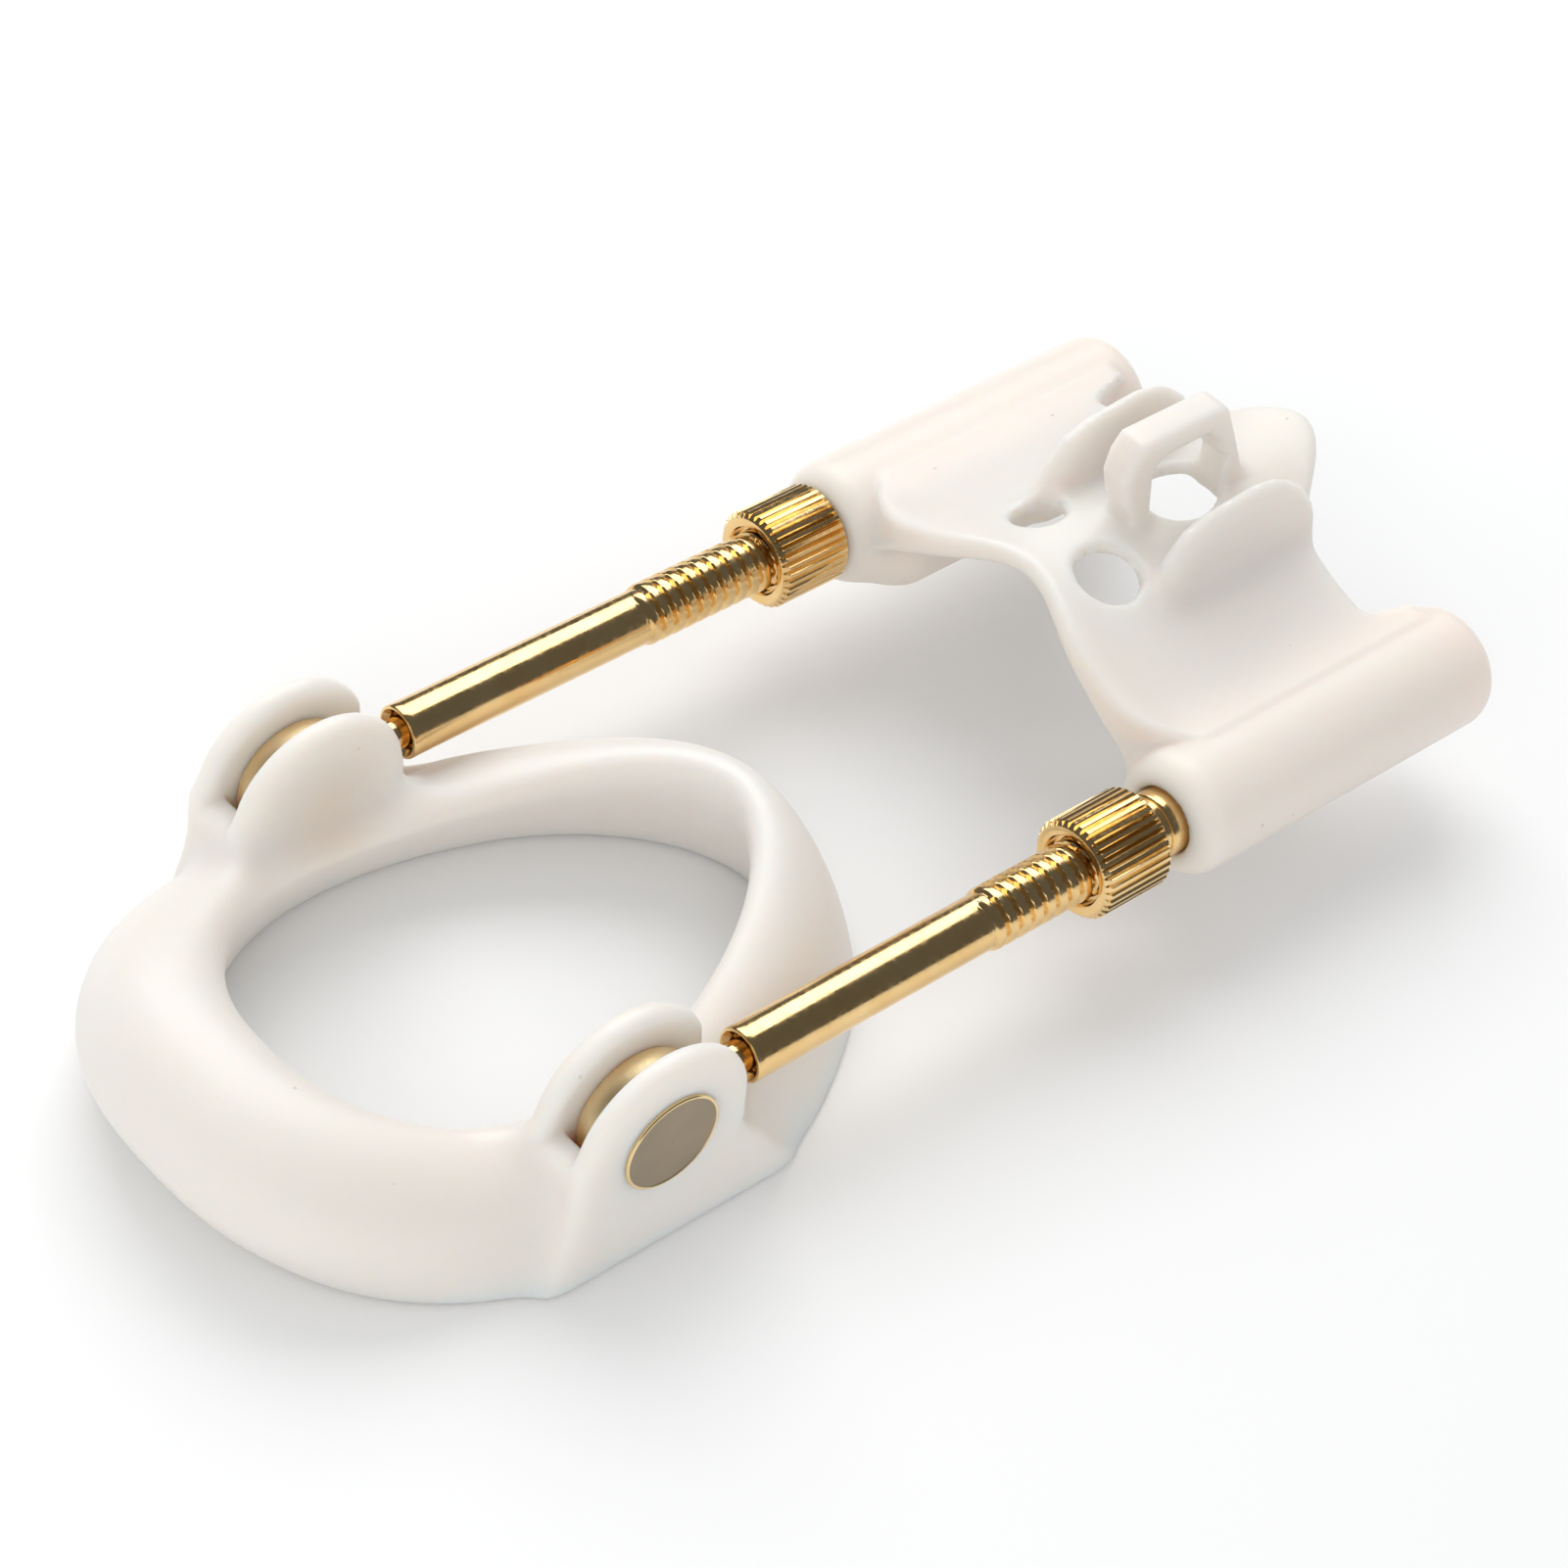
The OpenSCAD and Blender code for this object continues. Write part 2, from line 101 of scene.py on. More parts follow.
def soft_max(a, b, radius):
    """Keeps what two shapes share, with a rounded edge of about that radius."""
    return -soft_min(-a, -b, radius)


def egg(x, y, half_w, front, back, powers):
    """Distance to an egg outline about the origin; powers are its roundness front and back."""
    reach = np.where(y < 0, front, back)
    power = np.where(y < 0, powers[0], powers[1])
    u = np.abs(x) / half_w + 1e-9
    v = np.abs(y) / reach + 1e-9
    f = (u ** power + v ** power) ** (1 / power)
    slope = np.hypot(u ** (power - 1) / half_w, v ** (power - 1) / reach) * f ** (1 - power)
    return (f - 1) / np.maximum(slope, 0.5 / np.maximum(half_w, reach))


def polygon(y, z, points):
    """Distance to a closed outline of straight edges."""
    best = np.full(np.broadcast(y, z).shape, 1e9)
    inside = np.zeros(best.shape, bool)
    for (ay, az), (by, bz) in zip(points, points[1:] + points[:1]):
        ey, ez = by - ay, bz - az
        t = np.clip(((y - ay) * ey + (z - az) * ez) / (ey * ey + ez * ez), 0, 1)
        best = np.minimum(best, (y - ay - t * ey) ** 2 + (z - az - t * ez) ** 2)
        if az != bz:
            inside ^= ((z >= az) != (z >= bz)) & (y < ay + (z - az) * ey / ez)
    return np.sqrt(best) * np.where(inside, -1, 1)


def lerp(a, b, k):
    return a + (b - a) * k


def smooth_step(low, high, value):
    t = np.clip((value - low) / (high - low), 0, 1)
    return t * t * (3 - 2 * t)


# %% [markdown]
# ## From a field to a mesh
#
# The field is sampled on a grid. Each grid cell that the surface passes through gets
# one vertex, at the average of the places where the surface crosses the cell's edges,
# and neighbouring cells are joined by quads. Then each vertex slides along the field's
# slope onto the true surface, which takes the grid's steps out of the shading.

# %% Turn a field into vertices and quads
def grid_surface(field, low, high, step):
    axes = [np.arange(low[i] - 2 * step, high[i] + 2.5 * step, step) for i in range(3)]
    d = field(axes[0][:, None, None], axes[1][None, :, None], axes[2][None, None, :])
    n = [len(a) - 1 for a in axes]

    def corner(i, j, k):
        return d[i:n[0] + i, j:n[1] + j, k:n[2] + k]

    corners = [corner(i, j, k) < 0 for i in (0, 1) for j in (0, 1) for k in (0, 1)]
    count = np.sum(corners, axis=0, dtype=np.int8)
    active = (count > 0) & (count < 8)
    total = np.zeros((int(active.sum()), 3))
    hits = np.zeros(len(total))
    for axis in range(3):
        for u in (0, 1):
            for v in (0, 1):
                start = np.insert(np.array([u, v]), axis, 0)
                end = np.insert(np.array([u, v]), axis, 1)
                a, b = corner(*start)[active], corner(*end)[active]
                cross = (a < 0) != (b < 0)
                t = np.where(cross, a / np.where(cross, a - b, 1), 0)
                total += cross[:, None] * (start + t[:, None] * (end - start))
                hits += cross
    cells = np.argwhere(active)
    verts = (cells + total / hits[:, None]) * step + np.array([a[0] for a in axes])
    index = np.full(active.shape, -1)
    index[active] = np.arange(len(cells))
    quads = []
    for axis in range(3):
        p, q = [i for i in range(3) if i != axis]
        inside = np.moveaxis(d, (axis, p, q), (0, 1, 2)) < 0
        ids = np.moveaxis(index, (axis, p, q), (0, 1, 2))
        change = inside[:-1, 1:-1, 1:-1] != inside[1:, 1:-1, 1:-1]
        around = np.stack([ids[:, :-1, :-1], ids[:, 1:, :-1], ids[:, 1:, 1:], ids[:, :-1, 1:]], -1)
        found = around[change]
        flip = inside[:-1, 1:-1, 1:-1][change] == (axis != 1)
        found[~flip] = found[~flip][:, ::-1]
        quads.append(found)
    return verts, np.concatenate(quads)


# %% Slide vertices onto the true surface
def slope_of(field, points, reach=0.02):
    """The field's value and its direction of steepest rise at each point."""
    x, y, z = points.T
    rise = np.stack([field(x + reach, y, z) - field(x - reach, y, z),
                     field(x, y + reach, z) - field(x, y - reach, z),
                     field(x, y, z + reach) - field(x, y, z - reach)], -1) / (2 * reach)
    size = np.linalg.norm(rise, axis=1, keepdims=True)
    return field(x, y, z), rise / np.maximum(size, 1e-6), size[:, 0]


def settle(field, points, step, passes=4):
    for _ in range(passes):
        value, direction, size = slope_of(field, points)
        move = np.clip(value / np.maximum(size, 0.3), -0.3 * step, 0.3 * step)
        points = points - move[:, None] * direction
    return points


# %% Make an object from points and faces in millimetres
# Depths at which the plastic's thickness is felt for
DEPTHS = (1.5, 3.0, 4.5, 6.0)
# How far the painted glow round the knuckles reaches, and where it ends towards the outside
PAINTED_GLOW_REACH = 6.5
PAINTED_GLOW_ENDS = (28.0, 30.5)


def new_mesh(name, verts, faces, sharp_degrees=None):
    if isinstance(faces, np.ndarray):
        faces = faces.tolist()
    mesh = bpy.data.meshes.new(name)
    mesh.from_pydata((np.asarray(verts) + HINGE) * MM, [], faces)
    mesh.update()
    for face in mesh.polygons:
        face.use_smooth = True
    if sharp_degrees is not None:
        mesh.set_sharp_from_angle(angle=math.radians(sharp_degrees))
    piece = bpy.data.objects.new(name, mesh)
    bpy.context.scene.collection.objects.link(piece)
    return piece


def moulded(name, field, solid_field, low, high, step):
    """A moulded piece, which stores how deep its plastic is and a painted glow weight round each
    knuckle.
    """
    verts, quads = grid_surface(field, low, high, step)
    verts = settle(field, verts, step)
    _, outward, _ = slope_of(field, verts)
    piece = new_mesh(name, verts, quads, 50)
    under = [np.clip(-solid_field(*(verts - outward * depth).T) / depth, 0, 1) for depth in DEPTHS]
    thick = piece.data.attributes.new("thickness", "FLOAT", "POINT")
    thick.data.foreach_set("value", np.mean(under, axis=0).astype(np.float32))
    x, y, z = verts.T
    # Painted glow: a warm colour weight round each knuckle, standing in for the gold's light seen
    # through the plastic
    painted_glow_weight = np.exp(-(np.hypot(y, z) / PAINTED_GLOW_REACH) ** 2)
    painted_glow_weight = painted_glow_weight * smooth_step(-PAINTED_GLOW_ENDS[1], -PAINTED_GLOW_ENDS[0], -np.abs(x))
    painted_glow_layer = piece.data.attributes.new("painted_knuckle_glow", "FLOAT", "POINT")
    painted_glow_layer.data.foreach_set("value", painted_glow_weight.astype(np.float32))
    print(name, len(verts), "points,", len(quads), "quads")
    return piece


# %% [markdown]
# ## The base ring
#
# Seen from above, the ring lies between two egg outlines. Its section is a fat dome on a
# flat foot: tall and broad at the front, low beside the lugs, tall and slim at the back.
# As it rises, the section leans in over the opening, and at the front its outside tucks
# in towards the foot. One blend of three values, front, side and back, drives them all.

# %% The ring's own body
RING_WIDE_Y = 1.6
RING_W = ring_high[0]
# Half width, reach to the front, reach to the back, and roundness front and back
OPENING = (24.5, 25.0, 38.6, (2.3, 1.85))
OUTSIDE = (RING_W, RING_WIDE_Y - ring_low[1], 45.9, (2.5, 2.1))
# The outline is a little fuller just behind the lugs
HIP = 0.03
HIP_ANGLE = 21
HIP_SPREAD = 13
# The section's top at the front, beside the lugs and at the back, and its lean there
RING_TOPS = (19.0, 11.3, 18.4)
RING_LEANS = (0.0, 4.9, 4.0)
LEAN_PER = 10
# The height where the section is widest, and how far its foot tucks in, front and back
WIDEST = (8.8, 7.2)
TUCK_FRONT = 5.7
TUCK_BACK = 1.0
TUCK_ENDS = (0.4, 0.6)


def turn_sine(x, y, half_w, front, back, powers):
    """Sine of an egg's own angle at a point: -1 at its front, 0 beside it, 1 at its back."""
    power = np.where(y < 0, powers[0], powers[1])
    u = (np.abs(x) / half_w) ** power
    v = (np.abs(y) / np.where(y < 0, front, back)) ** power
    return np.sign(y) * np.sqrt(v / (u + v + 1e-9))


def round_ring(front, side, back, b):
    return front * 2 * (b - 0.5) * (b - 1) + side * 4 * b * (1 - b) + back * 2 * b * (b - 0.5)


def ring_place(x, y):
    """Distances to both outlines, and how far back round the ring, from 0 to 1."""
    v = y - RING_WIDE_Y
    inner, outer = egg(x, v, *OPENING), egg(x, v, *OUTSIDE)
    between = np.clip(inner / np.maximum(inner - outer, 1), 0, 1)
    sine = lerp(turn_sine(x, v, *OPENING), turn_sine(x, v, *OUTSIDE), between)
    angle = np.degrees(np.arcsin(np.clip(sine, -1, 1)))
    fuller = 1 + HIP * np.exp(-((angle - HIP_ANGLE) / HIP_SPREAD) ** 2)
    return inner, egg(x / fuller, v / fuller, *OUTSIDE), (1 + sine) / 2


def lean(b, height):
    return round_ring(*RING_LEANS, b) * height / LEAN_PER


def tuck(b):
    at_front = TUCK_FRONT * np.clip(1 - b / TUCK_ENDS[0], 0, 1) ** 1.3
    return at_front + TUCK_BACK * np.clip(b - TUCK_ENDS[1], 0, 1) / (1 - TUCK_ENDS[1])


def ring_body(x, y, z):
    height = z - BASE_Z
    inner, outer, b = ring_place(x, y)
    widest = lerp(*WIDEST, b)
    below = np.clip((widest - height) / widest, 0, 1)
    inner = inner + lean(b, height)
    outer = outer + lean(b, height) + tuck(b) * below ** 1.7
    half = np.maximum(inner - outer, 3) / 2
    across = np.abs(inner + outer) / (2 * half)
    rise = np.clip((height - widest) / (round_ring(*RING_TOPS, b) - widest), 0, None)
    dome = (across ** 2.22 + rise ** 2.5) ** (1 / 2.3) - 1
    return dome * np.minimum(half, 5)


print("opening", 2 * OPENING[0], "mm across and", OPENING[1] + OPENING[2], "mm along")

# %% [markdown]
# ## The lugs
#
# Each lug is a round ear on a skirt that runs down to the foot, cut by a slot for the
# knuckle. Below the ear its inner face leans out to meet the opening's wall. The lug is
# joined to the ring with a wide fillet, so the ears grow out of the ring, but the fillet
# is kept out of the place that the tube's end comes to when it is pushed in. The slot is
# cut after the join, and its floor rises in front, so it fades out over the ring.

# %% Lugs, slots and the whole ring
EAR_R = 10.5
LUG_HALF_W = RING_W - ROD_X
EAR_EDGE = 2.2
LUG_WALL_TOP = 10.7
LUG_FILLET = 5.0
SLOT_HALF_W = 1.9
SLOT_R = 7.25
SLOT_FLOOR_Z = -3.6
SLOT_FLOOR_RISE = 4.2
TUBE_REACH = 10.1
TUBE_ROOM_R = 4.2
FOOT_EDGE = 0.9
LUG_SKIRT = [(-10.2, 0.5), (-10.9, -4.0), (-12.2, BASE_Z), (-12.6, BASE_Z - 3),
             (18.6, BASE_Z - 3), (17.0, BASE_Z), (13.0, -7.5), (10.0, -4.0), (9.6, 0.5)]


def lug(x, y, z):
    across = np.abs(np.abs(x) - ROD_X) - LUG_HALF_W
    ear = np.hypot(y, z) - EAR_R
    outline = soft_min(ear, polygon(y + 0 * z, z + 0 * y, LUG_SKIRT), 3.0)
    solid = soft_max(outline, across, EAR_EDGE)
    inner, _, b = ring_place(x, y)
    wall = inner + lean(b, np.clip(z - BASE_Z, 0, LUG_WALL_TOP))
    return soft_max(solid, -wall, 2.5)


def ring_solid(x, y, z):
    body = soft_min(ring_body(x, y, z), lug(x, y, z), LUG_FILLET)
    inner, _, b = ring_place(x, y)
    body = soft_max(body, -inner - lean(b, z - BASE_Z), 0.6)
    body = soft_max(body, np.abs(x) - RING_W, 1.2)
    tube_room = soft_max(np.hypot(np.abs(x) - ROD_X, z) - TUBE_ROOM_R, TUBE_REACH - y, 1.5)
    body = soft_max(body, -tube_room, 1.2)
    return soft_max(body, BASE_Z - z, FOOT_EDGE)


def ring_field(x, y, z):
    side_gap = np.abs(np.abs(x) - ROD_X) - SLOT_HALF_W
    floor = SLOT_FLOOR_Z + SLOT_FLOOR_RISE * smooth_step(5.5, 8.5, -y)
    seen_from_side = soft_min(np.hypot(y, z) - SLOT_R, floor - z, 1.0)
    slot = soft_max(side_gap, seen_from_side, 0.6)
    return soft_max(ring_solid(x, y, z), -slot, 1.6)


FINE = 0.45
base_ring = moulded("moulded_ring", ring_field, ring_solid, ring_low, ring_high, FINE)
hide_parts("base_ring")
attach(base_ring, "ring")

# %% [markdown]
# ## The cradle
#
# Two sleeves with round ends are joined by a thin arch. Seen along the rods, the arch
# follows one wave of a cosine, from a crown in the middle to the tops of the sleeves,
# and it thickens into a fat root beside and below each sleeve. Its front edge is bowed
# and has a raised rim, and its back edge runs out into a tongue. Two fins and a strap
# bridge stand on it. All of it is one field, joined with fillets of its own.

# %% Sleeves, roots and the arch between them
SLEEVE_R = cradle_high[0] - ROD_X
SLEEVE_NEAR, SLEEVE_FAR = cradle_low[1], cradle_high[1]
SLEEVE_EDGE = 3.1
ROOT_AT = (22.8, -1.4)
ROOT_R = 5.4
ROOT_ENDS = (74.5, 108.0)
ROOT_EDGE = 5.0
# The arch's top and underside are waves that start at the crown
CROWN_Z = 14.0
ARCH_HALF_WAVE = 24.0
ARCH_T = 1.8
UNDER_HALF_WAVE = 26.0
UNDER_DROP = 5.2
# Its front edge is bowed, turns back near the sleeves and has a raised rim
NEAR_EDGE_Y = 74.8
NEAR_BOW = 2.6
NEAR_BOW_W = 12
NEAR_TURN = 0.06
NEAR_TURN_X = 16
RIM_W = 2.2
# Its back edge has a tongue in the middle that curls up, and a notch beside each sleeve
FAR_EDGE_Y = 107.4
TONGUE = 9.8
TONGUE_W = 11
TONGUE_CURL = 1.8
NOTCH_X = 20.5
NOTCH_RISE = 6


def round_bar(x, y, z, centre, radius, ends, edge):
    """Bars along Y on both sides, at centre (X, Z), with rounded ends."""
    radial = np.hypot(np.abs(x) - centre[0], z - centre[1]) - radius + edge
    along = np.abs(y - (ends[0] + ends[1]) / 2) - (ends[1] - ends[0]) / 2 + edge
    outside = np.hypot(np.maximum(radial, 0), np.maximum(along, 0))
    return outside + np.minimum(np.maximum(radial, along), 0) - edge


def sleeves(x, y, z):
    ends = (SLEEVE_NEAR, SLEEVE_FAR)
    sleeve = round_bar(x, y, z, (ROD_X, 0.0), SLEEVE_R, ends, SLEEVE_EDGE)
    root = round_bar(x, y, z, ROOT_AT, ROOT_R, ROOT_ENDS, ROOT_EDGE)
    return soft_min(sleeve, root, 3.0)


def arch_z(x):
    drop = (CROWN_Z - SLEEVE_R) / 2
    return CROWN_Z - drop * (1 - np.cos(np.pi * np.minimum(np.abs(x) / ARCH_HALF_WAVE, 1)))


def arch_edge(away, y):
    """Distance outside the arch's front and back edges, seen from above."""
    across = np.clip(away / TONGUE_W, 0, 1) * np.pi
    far = FAR_EDGE_Y + TONGUE * np.cos(across / 2) ** 1.3
    far = far + np.minimum(0.9 * np.maximum(away - NOTCH_X, 0) ** 2, NOTCH_RISE)
    near = NEAR_EDGE_Y - NEAR_BOW * np.sin(np.clip(away / NEAR_BOW_W, 0, 1) * np.pi / 2) ** 2
    near = near + NEAR_TURN * np.maximum(away - NEAR_TURN_X, 0) ** 2
    far_slope = TONGUE * np.pi / (2 * TONGUE_W) * np.sin(across)
    return np.maximum(near - y, (y - far) / np.hypot(1, far_slope))


def arch(x, y, z):
    away = np.abs(x)
    slope = (arch_z(away + 0.1) - arch_z(away - 0.1)) / 0.2
    level = 1 / np.sqrt(1 + slope * slope)
    rim = np.exp(-((y - NEAR_EDGE_Y + 1.0) / RIM_W) ** 2)
    curl = TONGUE_CURL * smooth_step(102.0, 116.0, y) * smooth_step(-16.0, -6.0, -away)
    top = arch_z(x) + 0.3 * rim + curl
    under = CROWN_Z - ARCH_T - UNDER_DROP * (1 - np.cos(np.pi * away / UNDER_HALF_WAVE)) + curl
    plate = np.maximum(z - top, under - 0.7 * rim - z) * level
    plate = soft_max(plate, arch_edge(away, y), 1.3)
    return soft_max(plate, away - ROD_X + 2, 0.5)


print("sleeves", 2 * SLEEVE_R, "mm thick, from", SLEEVE_NEAR, "to", SLEEVE_FAR)

# %% Fins and strap bridge on the arch
FIN_X = 9.3
FIN_HALF_T = 1.75
FIN_EDGE = 2.6
FIN_DRAFT = 0.06
BRIDGE_HALF_W = 2.1
FIN_SIDE = [(84.3, 8.0), (84.9, 11.8), (86.1, 15.4), (88.2, 18.7), (91.5, 20.1), (95.5, 20.5),
            (99.0, 20.8), (102.0, 20.2), (104.2, 19.0), (106.8, 16.8), (108.8, 14.0), (109.6, 8.0)]
BRIDGE_OUTSIDE = [(90.6, 11.0), (88.6, 14.4), (87.0, 17.2), (85.9, 20.8), (86.4, 23.6),
                  (87.8, 25.6), (99.9, 25.6), (101.0, 24.8), (103.0, 20.5), (105.0, 16.0),
                  (106.4, 11.0)]
BRIDGE_INSIDE = [(93.0, 8.0), (91.2, 15.4), (90.3, 21.0), (91.6, 22.4), (98.2, 22.6),
                 (100.4, 20.4), (102.0, 16.0), (103.0, 8.0)]


def fins(x, y, z):
    side = polygon(y + 0 * z, z + 0 * y, FIN_SIDE)
    draft = FIN_DRAFT * (z - 10)
    return soft_max(side, np.abs(np.abs(x) - FIN_X) - FIN_HALF_T + draft, FIN_EDGE)


def bridge(x, y, z):
    outside = polygon(y + 0 * z, z + 0 * y, BRIDGE_OUTSIDE)
    inside = polygon(y + 0 * z, z + 0 * y, BRIDGE_INSIDE)
    loop = soft_max(outside, -inside, 0.8)
    return soft_max(loop, np.abs(x) - BRIDGE_HALF_W, 1.1)


# %% Holes in the arch
# Centre, then half sizes, across and along
LEFT_HOLE = (-6.4, 82.8, 2.7, 3.5)
RIGHT_HOLE = (5.1, 82.1, 3.7, 4.0)
WINDOW = (0.0, 97.4, 4.2, 5.2)
WINDOW_NEAR = 91.8
HOLES_STOP_Z = 18


def oval(x, y, hole):
    centre_x, centre_y, half_w, half_l = hole
    return egg(x - centre_x, y - centre_y, half_w, half_l, half_l, (2.0, 2.0))


def arch_holes(x, y, z):
    """The two strap holes, and the window with one straight side, all below the bridge."""
    window = soft_max(oval(x, y, WINDOW), WINDOW_NEAR - y, 0.8)
    strap = np.minimum(oval(x, y, LEFT_HOLE), oval(x, y, RIGHT_HOLE))
    under_bridge = np.maximum(z - HOLES_STOP_Z, 0)
    return np.maximum(strap, under_bridge), np.maximum(window, under_bridge)


# %% The whole cradle
HOLE_EDGE = 0.7
MOUTH_R = 3.95
MOUTH_DEPTH = 5.2
BORE_R = 3.5
TAIL_WALL = 8


def cradle_solid(x, y, z):
    fillet = 4.5 - 3.7 * smooth_step(17.0, 24.0, np.abs(x))
    body = soft_min(sleeves(x, y, z), arch(x, y, z), fillet)
    body = soft_min(body, fins(x, y, z), 2.2)
    body = soft_min(body, bridge(x, y, z), 1.6)
    for hole in arch_holes(x, y, z):
        body = soft_max(body, -hole, HOLE_EDGE)
    return body


def cradle_field(x, y, z):
    off_axis = np.hypot(np.abs(x) - ROD_X, z)
    mouth = np.maximum(off_axis - MOUTH_R, y - SLEEVE_NEAR - MOUTH_DEPTH)
    bore = np.maximum(off_axis - BORE_R, y - SLEEVE_FAR + TAIL_WALL)
    return soft_max(cradle_solid(x, y, z), -np.minimum(mouth, bore), 0.5)


cradle = moulded("moulded_cradle", cradle_field, cradle_solid, cradle_low, cradle_high, FINE)
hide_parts("cradle")
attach(cradle, "cradle")

# %% [markdown]
# ## Turned parts
#
# Everything made of metal here comes off a lathe. A turned part is a closed profile of
# radius against distance, swept round an axis. One function sweeps them all. It may be
# given a second function that changes the radius with the angle, which is what cuts a
# helical thread or the flutes of a nut.

# %% Sweep a closed profile round an axis
def turned(name, profile, segments, axis="y", at=(0, 0, 0), cut=None, sharp=35):
    """profile holds (distance, radius) pairs; cut(distance, radius, angle) gives a new radius."""
    angles = np.linspace(0, 2 * np.pi, segments, endpoint=False)
    along = np.array([p[0] for p in profile])[:, None] + 0 * angles
    radius = np.array([p[1] for p in profile])[:, None] + 0 * angles
    if cut is not None:
        radius = cut(along, radius, angles[None, :])
    a, b = radius * np.cos(angles), radius * np.sin(angles)
    parts = (along, a, b) if axis == "x" else (b, along, a)
    verts = np.stack(parts, -1).reshape(-1, 3) + np.array(at)
    rings = len(profile)
    faces = []
    for i in range(rings):
        row, after = i * segments, ((i + 1) % rings) * segments
        for j in range(segments):
            k = (j + 1) % segments
            faces.append((row + j, row + k, after + k, after + j))
    return new_mesh(name, verts, faces, sharp)


def finish_piece(piece, node, body):
    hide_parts(node)
    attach(piece, body)
    print(piece.name, "replaces", node, "and rides on", body)


# %% [markdown]
# ## The threaded tubes
#
# Each tube is smooth at the ring end and threaded towards the cradle. On the real rod
# the thread is rolled, so its crests are round and stand a little above the smooth
# part. The thread's height is a function of distance minus angle, which makes the
# ridges climb as they go round. It fades in over half a turn at its start.

# %% Tubes with a true helical thread
TUBE_R = 3.05
TUBE_BORE = 2.2
PITCH = 1.75
THREAD_DEPTH = 0.6
tube_low, tube_high = box_mm("left_threaded_tube")
THREAD_R = tube_high[2]
THREAD_START = 44.2
TUBE_START, TUBE_END = tube_low[1], tube_high[1]


def thread_cut(along, radius, angle):
    turn = (along - THREAD_START) / PITCH - angle / (2 * np.pi)
    phase = np.abs((turn % 1.0) - 0.5) * 2
    groove = smooth_step(0.50, 0.92, phase)
    fade = smooth_step(-0.1, 0.5, turn) * smooth_step(0.0, 0.4, (TUBE_END - along))
    threaded = THREAD_R - 0.02 - THREAD_DEPTH * groove
    wanted = lerp(TUBE_R, threaded, fade)
    outside = (radius > TUBE_R - 0.01) & (along > THREAD_START - 0.2)
    return np.where(outside, wanted, radius)


def tube_profile():
    steps = 13
    threaded = np.arange(THREAD_START, TUBE_END - 0.05, PITCH / steps)
    outside = [(TUBE_START, TUBE_R - 0.18), (TUBE_START + 0.06, TUBE_R - 0.07),
               (TUBE_START + 0.18, TUBE_R)]
    outside += [(y, TUBE_R) for y in np.linspace(TUBE_START + 1, THREAD_START - 0.3, 12)]
    outside += [(y, TUBE_R) for y in threaded] + [(TUBE_END, THREAD_R - 0.7)]
    inside = [(TUBE_END, TUBE_BORE), (TUBE_START + 0.7, TUBE_BORE),
              (TUBE_START + 0.15, TUBE_BORE + 0.42), (TUBE_START, TUBE_BORE + 0.5)]
    return outside + inside


for side, sign in SIDES.items():
    tube = turned(side + "_rod_tube", tube_profile(), 72, at=(sign * ROD_X, 0, 0), cut=thread_cut)
    finish_piece(tube, side + "_threaded_tube", side + "_tube")
print("thread crests:", int((TUBE_END - THREAD_START) / PITCH))

# %% [markdown]
# ## The knurled nuts
#
# A nut for fingers has straight flutes with flat lands between them. The flutes are cut
# first and the ends are bevelled after, so each flute ends in a small scallop on the
# bevel. Taking the smaller of the fluted and the bevelled radius gives the same order
# of cuts. The ring-side face has a recess round the thread.

# %% Nuts
NUT_R = 5.69
FLUTES = 36
FLUTE_DEPTH = 0.58
NUT_BEVEL = 0.62
NUT_BORE = 3.46


def flute_cut(along, radius, angle):
    phase = np.abs(((angle * FLUTES / (2 * np.pi)) % 1.0) - 0.5) * 2
    fluted = NUT_R - FLUTE_DEPTH * smooth_step(0.42, 0.95, phase)
    return np.where(radius > 4.4, np.minimum(radius, fluted), radius)


def nut_profile(start, end):
    low_r, steps = NUT_R - NUT_BEVEL, 5
    part = [k / steps for k in range(steps + 1)]
    front = [(start + 0.02, 4.5), (start + 0.02, low_r - 0.12), (start + 0.06, low_r)]
    front += [(start + 0.06 + NUT_BEVEL * k, NUT_R - NUT_BEVEL * (1 - k)) for k in part[1:]]
    back = [(end - 0.06 - NUT_BEVEL * (1 - k) * 0.8, NUT_R - NUT_BEVEL * k) for k in part]
    back += [(end, low_r - 0.12), (end, 4.6), (end, NUT_BORE)]
    recess = [(start + 1.25, 3.85), (start + 0.35, 3.92), (start + 0.1, 4.1)]
    return front + back + [(start + 1.3, NUT_BORE)] + recess


for side, sign in SIDES.items():
    low, high = box_mm(side + "_knurled_nut")
    nut = turned(side + "_finger_nut", nut_profile(low[1], high[1]), FLUTES * 10,
                 at=(sign * ROD_X, 0, 0), cut=flute_cut, sharp=28)
    finish_piece(nut, side + "_knurled_nut", side + "_nut")

# %% [markdown]
# ## Collars, bushes and shafts
#
# The collar pushes on the sleeve. It has two round ridges with a groove between. The
# bush is a plain ring a little way inside the tube's mouth, and the shaft runs through
# it to the knuckle. They are small, but light catches on each edge, so every corner
# has a bevel.

# %% Collars
COLLAR_BORE = 3.45
COLLAR_GROOVE = 0.42


def bead(start, end, radius, edge):
    """A ridge with rounded shoulders: distances and radii from start to end."""
    steps = 4
    turns = [math.pi / 2 * k / steps for k in range(steps + 1)]
    up = [(start + edge * (1 - math.cos(t)), radius - edge * (1 - math.sin(t))) for t in turns]
    down = [(end - edge * (1 - math.sin(t)), radius - edge * (1 - math.cos(t))) for t in turns]
    return up + down


